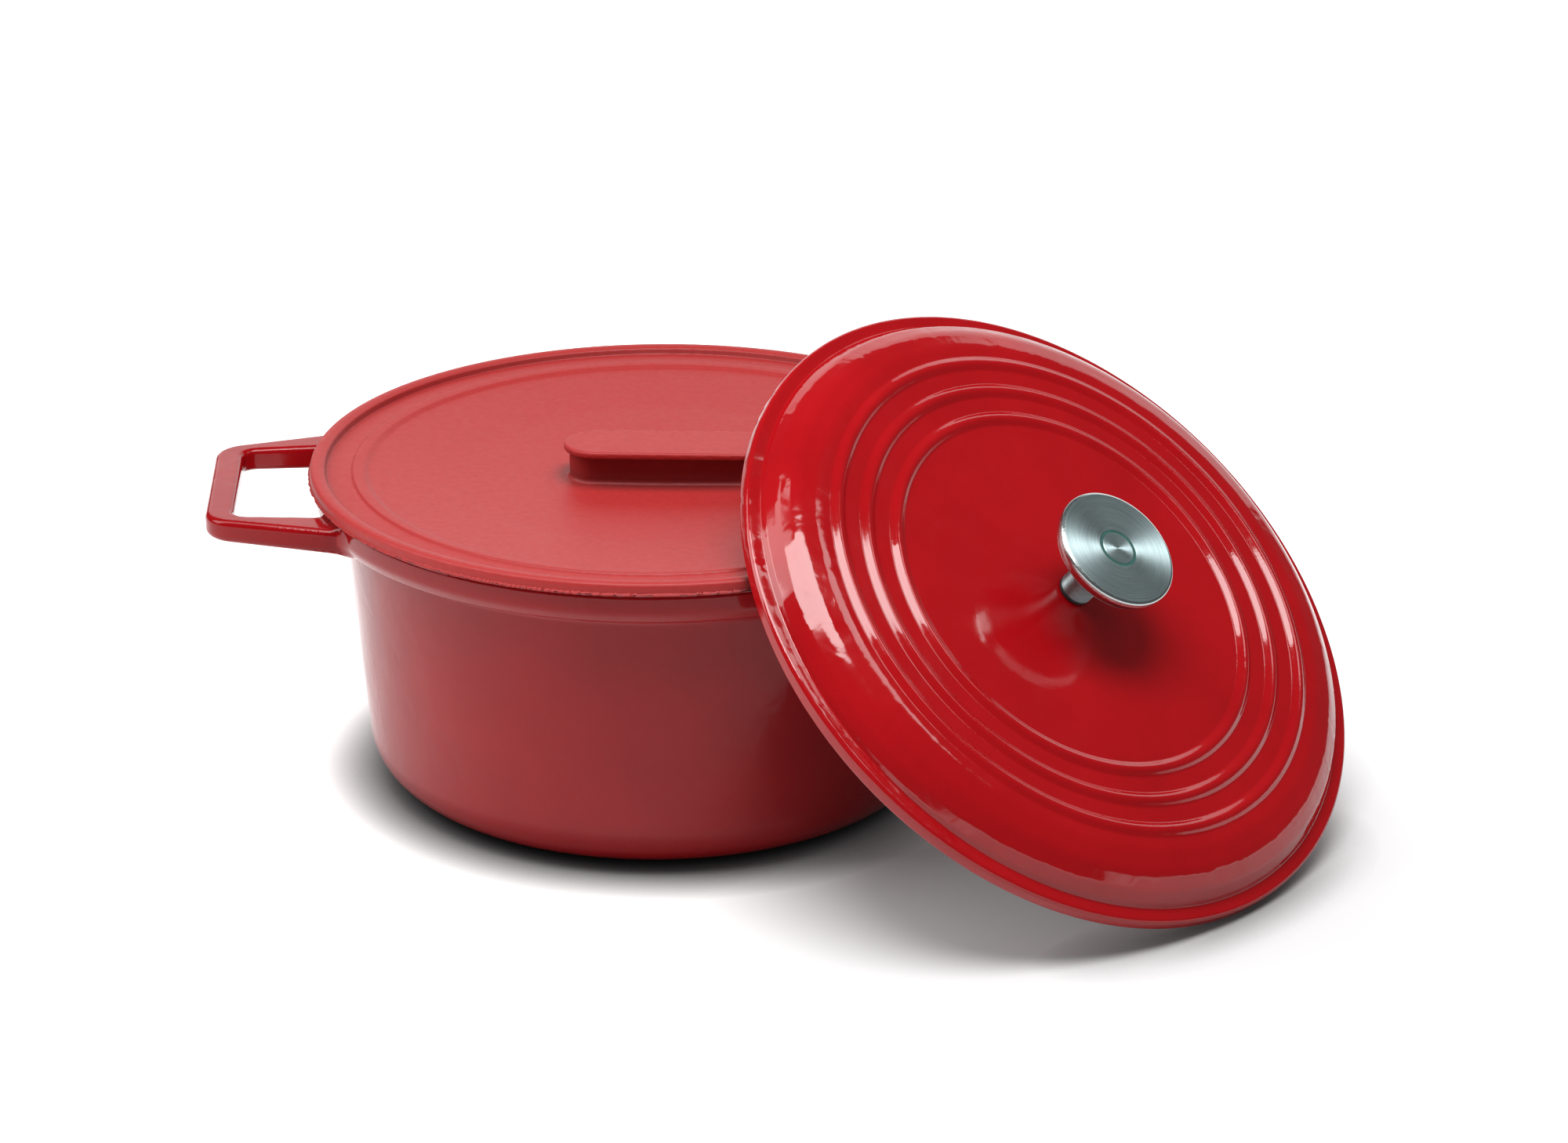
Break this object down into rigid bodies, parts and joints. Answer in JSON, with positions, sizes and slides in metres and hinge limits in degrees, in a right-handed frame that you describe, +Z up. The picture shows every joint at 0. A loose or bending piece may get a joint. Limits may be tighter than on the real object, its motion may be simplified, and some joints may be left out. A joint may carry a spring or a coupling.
{
  "type": "dutch oven",
  "caption": "Round enamelled cast iron dutch oven with loop side handles, a soft push-in storage lid with a grip, and a domed cast lid with a steel knob leaning against it.",
  "frame": {"origin": "centre of the pot's flat base, on the surface it stands on", "axes": "+Z up along the pot's axis, +X along the line through the two side handles, towards the side where the cast lid leans; the front is -Y"},
  "size_m": [0.474, 0.3631, 0.1979],
  "materials": {
    "red_enamel": "gloss vitreous enamel",
    "red_silicone": "matte silicone",
    "steel": "circular brushed",
    "black_rubber": "matte"
  },
  "bodies": {
    "pot_body": {"pot": "red_enamel"},
    "soft_lid_body": {"silicone_lid": "red_silicone"},
    "cast_lid_body": {"cast_lid": "red_enamel", "knob": "steel", "knob_gasket": "black_rubber", "screw_washer": "steel", "knob_screw": "steel"}
  },
  "joints": [
    {"name": "silicone_lid_lift", "type": "slide", "parent": "pot_body", "child": "soft_lid_body", "axis": [0, 0, 1], "range_m": [0, 0.15]},
    {"name": "cast_lid_lift", "type": "slide", "parent": "soft_lid_body", "child": "cast_lid_body", "axis": [0.4776, -0.4689, 0.743], "range_m": [0, 0.3]}
  ]
}
